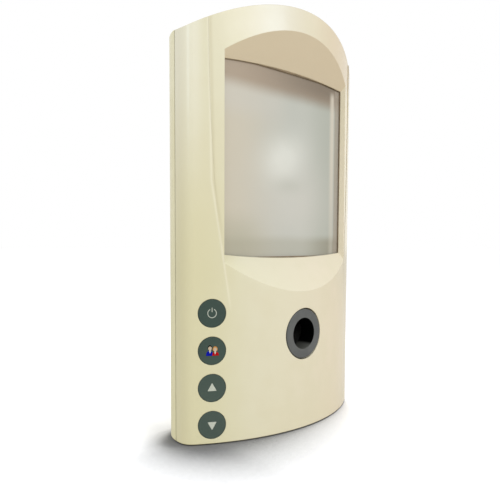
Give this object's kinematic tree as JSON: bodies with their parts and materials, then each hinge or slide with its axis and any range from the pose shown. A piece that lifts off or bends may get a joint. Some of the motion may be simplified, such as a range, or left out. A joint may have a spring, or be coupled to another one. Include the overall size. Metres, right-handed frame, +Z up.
{
  "type": "tanning lamp",
  "caption": "Tabletop upper body tanning lamp: convex cream housing, frosted lamp window, swivelling air nozzle and a column of round push buttons.",
  "frame": {"origin": "middle of the footprint, on the surface it stands on", "axes": "+Z up, the convex front with the window faces -Y, the flat back faces +Y"},
  "size_m": [0.257, 0.098, 0.439],
  "materials": {
    "cream_plastic": "satin moulded cream plastic",
    "rear_plastic": "satin moulded beige plastic",
    "dark_seal": "matt dark rubber",
    "foot_rubber": "matt black rubber",
    "frosted_pane": "frosted filter glass",
    "sheet_steel": "zinc plated sheet",
    "screw_steel": "zinc plated screws",
    "mirror_sheet": "polished reflector sheet",
    "quartz": "clear quartz",
    "lamp_ceramic": "white steatite",
    "nozzle_plastic": "satin grey plastic",
    "nozzle_dark": "dark grey plastic",
    "duct_plastic": "grey plastic",
    "fan_plastic": "black plastic",
    "button_plastic": "dark grey green plastic",
    "guide_plastic": "grey plastic",
    "board_green": "green circuit board",
    "switch_black": "black switch housing",
    "ballast_metal": "grey lacquered core",
    "can_aluminium": "drawn can",
    "igniter_plastic": "black plastic",
    "block_plastic": "white plastic",
    "gland_plastic": "black plastic",
    "insert_brass": "turned brass"
  },
  "bodies": {
    "housing": {"front_shell": "cream_plastic", "rear_shell": "rear_plastic", "seam_gasket": "dark_seal", "feet": "foot_rubber", "window_pane": "frosted_pane", "pane_gasket": "dark_seal", "pane_retainer": "sheet_steel", "retainer_screws": "screw_steel", "reflector": "mirror_sheet", "reflector_posts": "sheet_steel", "reflector_screws": "screw_steel", "lamp_tube": "quartz", "lamp_caps": "lamp_ceramic", "lamp_holders": "lamp_ceramic", "heat_shield": "sheet_steel", "shield_screws": "screw_steel", "nozzle_seat": "nozzle_dark", "nozzle_retainer": "nozzle_dark", "seat_screws": "screw_steel", "air_duct": "duct_plastic", "fan_frame": "fan_plastic", "fan_screws": "screw_steel", "button_guide": "guide_plastic", "guide_screws": "screw_steel", "control_board": "board_green", "board_screws": "screw_steel", "tact_switches": "switch_black", "ballast": "ballast_metal", "capacitor": "can_aluminium", "igniter": "igniter_plastic", "terminal_block": "block_plastic", "cord_gland": "gland_plastic", "gland_nut": "gland_plastic", "arm_inserts": "insert_brass", "case_screws": "screw_steel"},
    "power_button": {"power_button": "button_plastic"},
    "program_button": {"program_button": "button_plastic"},
    "up_button": {"up_button": "button_plastic"},
    "down_button": {"down_button": "button_plastic"},
    "fan_rotor": {"fan_rotor": "fan_plastic"},
    "nozzle_collar": {"nozzle_collar": "nozzle_dark"},
    "nozzle_ball": {"nozzle_ball": "nozzle_plastic", "trunnion_pins": "screw_steel"}
  },
  "joints": [
    {"name": "power_press", "type": "slide", "parent": "housing", "child": "power_button", "axis": [0.4814, 0.8765, 0], "range_m": [0, 0.0015], "stiffness_N_per_m": 900},
    {"name": "program_press", "type": "slide", "parent": "housing", "child": "program_button", "axis": [0.4814, 0.8765, 0], "range_m": [0, 0.0015], "stiffness_N_per_m": 900},
    {"name": "up_press", "type": "slide", "parent": "housing", "child": "up_button", "axis": [0.4814, 0.8765, 0], "range_m": [0, 0.0015], "stiffness_N_per_m": 900},
    {"name": "down_press", "type": "slide", "parent": "housing", "child": "down_button", "axis": [0.4814, 0.8765, 0], "range_m": [0, 0.0015], "stiffness_N_per_m": 900},
    {"name": "fan_spin", "type": "hinge", "parent": "housing", "child": "fan_rotor", "pos_m": [0, 0.0115, 0.103], "axis": [0, 1, 0], "continuous": true},
    {"name": "nozzle_turn", "type": "hinge", "parent": "housing", "child": "nozzle_collar", "pos_m": [0, -0.041, 0.103], "axis": [0, 1, 0], "continuous": true},
    {"name": "nozzle_tilt", "type": "hinge", "parent": "nozzle_collar", "child": "nozzle_ball", "pos_m": [0, -0.041, 0.103], "axis": [1, 0, 0], "range_deg": [-20, 20]}
  ]
}
